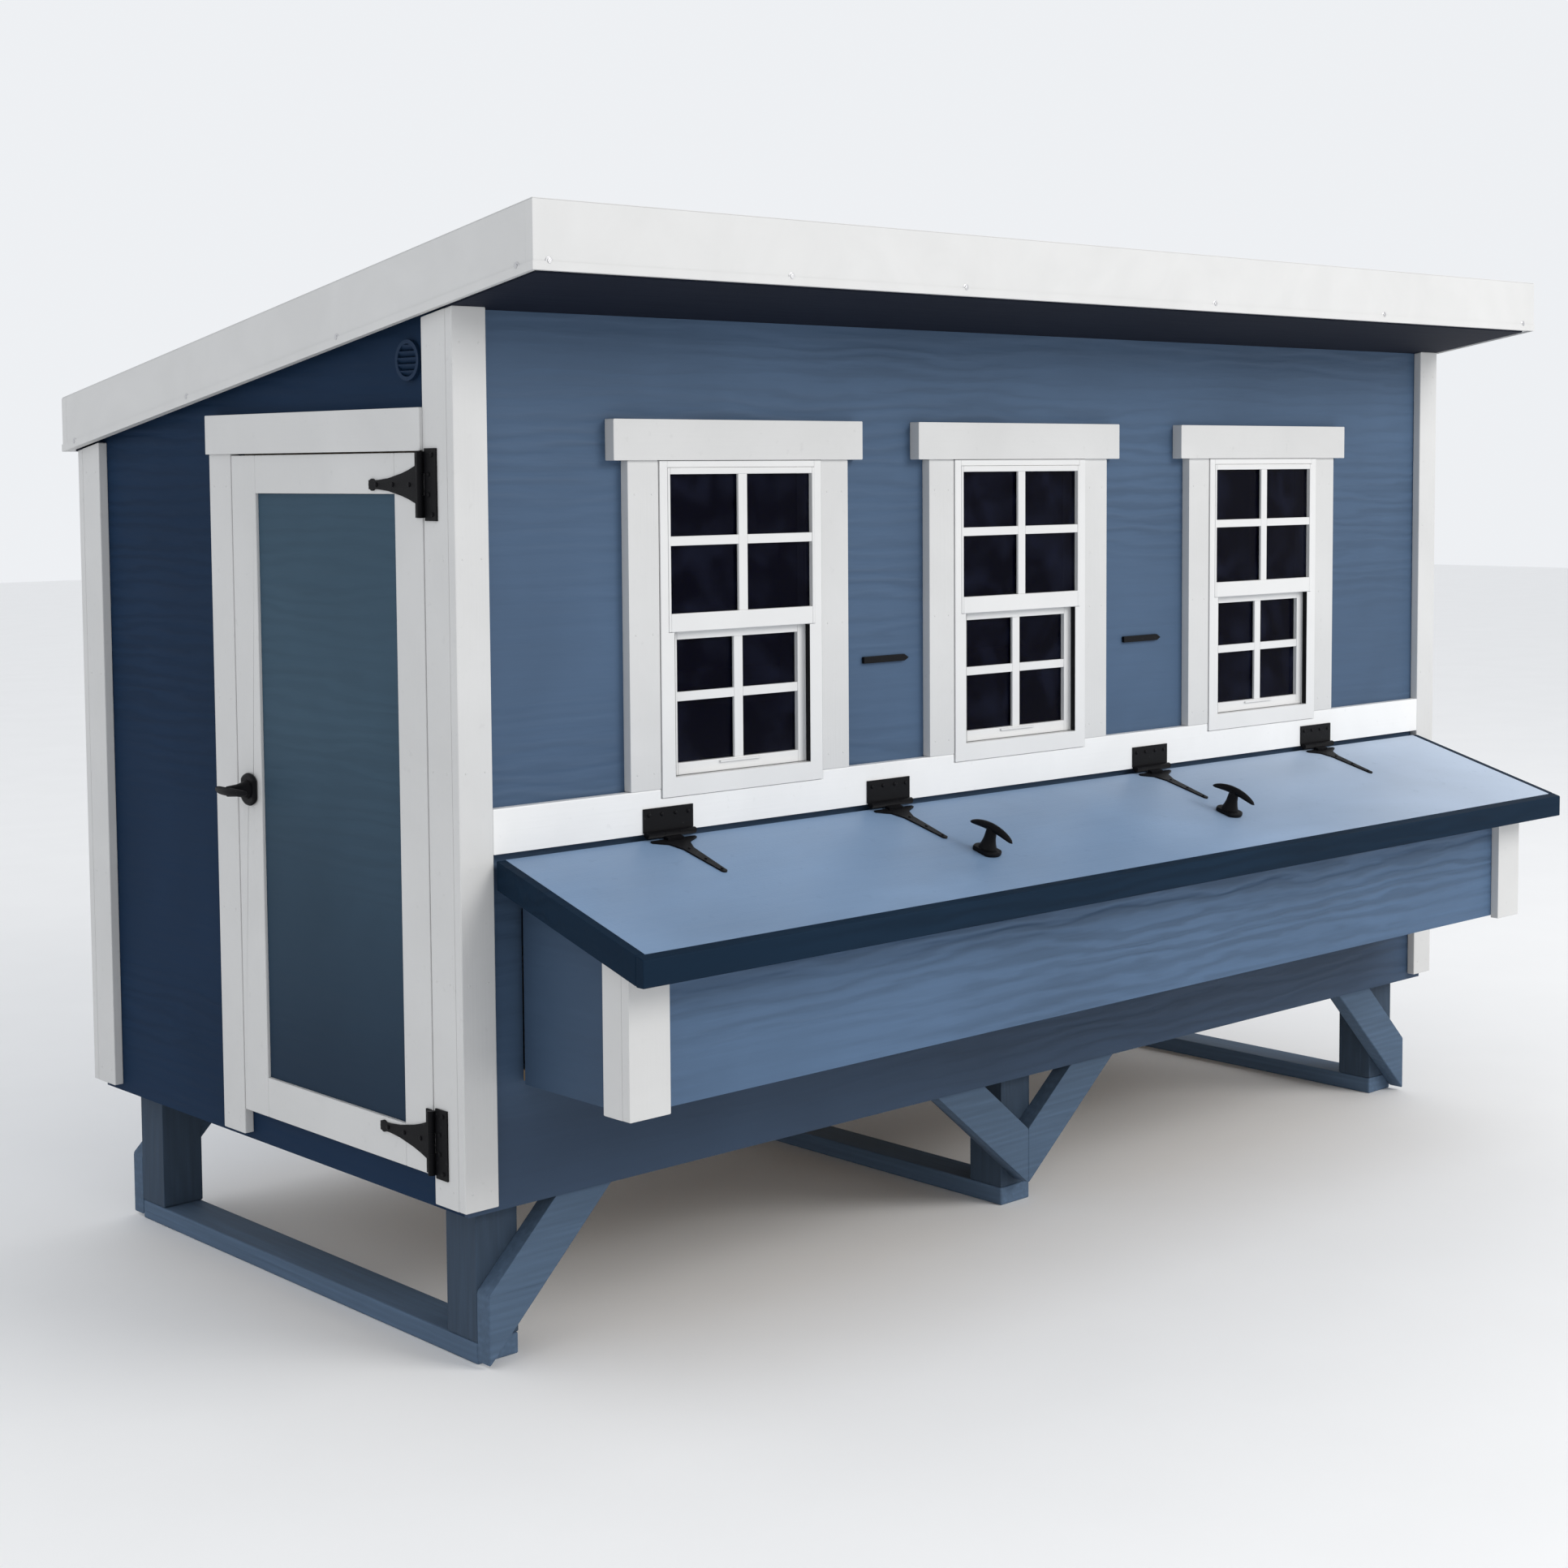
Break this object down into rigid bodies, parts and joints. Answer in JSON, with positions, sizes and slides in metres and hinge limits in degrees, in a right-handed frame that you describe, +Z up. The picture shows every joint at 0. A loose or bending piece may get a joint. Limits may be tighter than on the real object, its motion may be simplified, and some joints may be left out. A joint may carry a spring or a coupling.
{
  "type": "chicken coop",
  "caption": "Raised chicken coop with a mono-pitch roof, sliding windows, an end door, a rear ramp door and a front nest box under a hinged lid.",
  "frame": {"origin": "centre of the overall bounding box on the ground plane, under the rails", "axes": "+X along the coop away from the end door, -Y towards the nest box, +Z up"},
  "size_m": [3.0044, 1.7466, 1.9822],
  "materials": {
    "frame_blue": "matt slate-blue stain on rough posts, rails and braces",
    "timber": "bare planed softwood",
    "plywood": "bare plywood",
    "siding_blue": "satin blue paint over an embossed wood grain",
    "lid_blue": "satin light blue paint over an embossed wood grain",
    "soffit_navy": "dark navy paint on plywood",
    "trim_white": "satin white paint on planed boards",
    "roof_white": "smooth white coated sheet",
    "screw_steel": "plated screw heads with a washer",
    "vinyl_white": "smooth white window vinyl",
    "window_glass": "clear flat glass, dark against the interior",
    "hardware_black": "black powder coat",
    "vent_grey": "light grey moulded louvre"
  },
  "bodies": {
    "coop": {"rails": "frame_blue", "posts": "frame_blue", "braces": "frame_blue", "floor_frame": "timber", "floor_panel": "plywood", "siding_front": "siding_blue", "siding_rear": "siding_blue", "siding_left": "siding_blue", "siding_right": "siding_blue", "wall_studs": "timber", "wall_plates": "timber", "rafters": "timber", "roof_deck": "plywood", "roof_metal": "roof_white", "roof_soffit": "soffit_navy", "roof_fascia": "roof_white", "roof_screws": "screw_steel", "corner_trims": "trim_white", "band_board": "trim_white", "window_casings": "trim_white", "window_headers": "trim_white", "window_frames": "vinyl_white", "upper_sashes": "vinyl_white", "upper_glass": "window_glass", "door_jamb": "trim_white", "door_header": "trim_white", "door_hinge_plates": "hardware_black", "vents": "vent_grey", "nest_front": "siding_blue", "nest_ends": "siding_blue", "nest_floor": "plywood", "nest_dividers": "plywood", "nest_trims": "trim_white", "nest_lip": "timber", "lid_hinge_leaves": "hardware_black", "lid_catches": "timber", "wall_keepers": "hardware_black", "roost_bars": "timber", "roost_cleats": "timber", "ramp_hinges": "hardware_black"},
    "door": {"door_frame": "trim_white", "door_panel": "siding_blue", "door_hinge_straps": "hardware_black", "door_rose": "hardware_black"},
    "door_handle": {"door_handle": "hardware_black"},
    "lid": {"lid_panel": "lid_blue", "lid_edges": "siding_blue", "lid_hinge_straps": "hardware_black", "lid_roses": "hardware_black"},
    "lid_handle_left": {"lid_handle_1": "hardware_black"},
    "lid_handle_right": {"lid_handle_2": "hardware_black"},
    "sash_left": {"sash_1": "vinyl_white", "sash_glass_1": "window_glass"},
    "sash_middle": {"sash_2": "vinyl_white", "sash_glass_2": "window_glass"},
    "sash_right": {"sash_3": "vinyl_white", "sash_glass_3": "window_glass"},
    "ramp": {"ramp_door": "siding_blue", "ramp_straps": "hardware_black"},
    "ramp_button": {"ramp_button": "hardware_black"}
  },
  "joints": [
    {"name": "door_hinge", "type": "hinge", "parent": "coop", "child": "door", "pos_m": [-1.45025, -0.39325, 0.4], "axis": [0, 0, 1], "range_deg": [0, 165]},
    {"name": "door_handle_turn", "type": "hinge", "parent": "door", "child": "door_handle", "pos_m": [-1.44325, 0.18875, 0.962], "axis": [-1, 0, 0], "range_deg": [0, 90]},
    {"name": "lid_hinge", "type": "hinge", "parent": "coop", "child": "lid", "pos_m": [0.01875, -0.49025, 0.902], "axis": [-1, 0, 0], "range_deg": [0, 97]},
    {"name": "lid_handle_left_turn", "type": "hinge", "parent": "lid", "child": "lid_handle_left", "pos_m": [-0.39325, -0.71125, 0.82546], "axis": [0, 0.2856, -0.9584], "range_deg": [0, 90]},
    {"name": "lid_handle_right_turn", "type": "hinge", "parent": "lid", "child": "lid_handle_right", "pos_m": [0.35575, -0.71125, 0.82546], "axis": [0, 0.2856, -0.9584], "range_deg": [0, 90]},
    {"name": "sash_left_slide", "type": "slide", "parent": "coop", "child": "sash_left", "axis": [0, 0, 1], "range_m": [0, 0.23]},
    {"name": "sash_middle_slide", "type": "slide", "parent": "coop", "child": "sash_middle", "axis": [0, 0, 1], "range_m": [0, 0.23]},
    {"name": "sash_right_slide", "type": "slide", "parent": "coop", "child": "sash_right", "axis": [0, 0, 1], "range_m": [0, 0.23]},
    {"name": "ramp_hinge", "type": "hinge", "parent": "coop", "child": "ramp", "pos_m": [0.76875, 0.83875, 0.366], "axis": [-1, 0, 0], "range_deg": [0, 130]},
    {"name": "ramp_button_turn", "type": "hinge", "parent": "coop", "child": "ramp_button", "pos_m": [0.76875, 0.82475, 0.945], "axis": [0, 1, 0], "range_deg": [0, 90]}
  ]
}
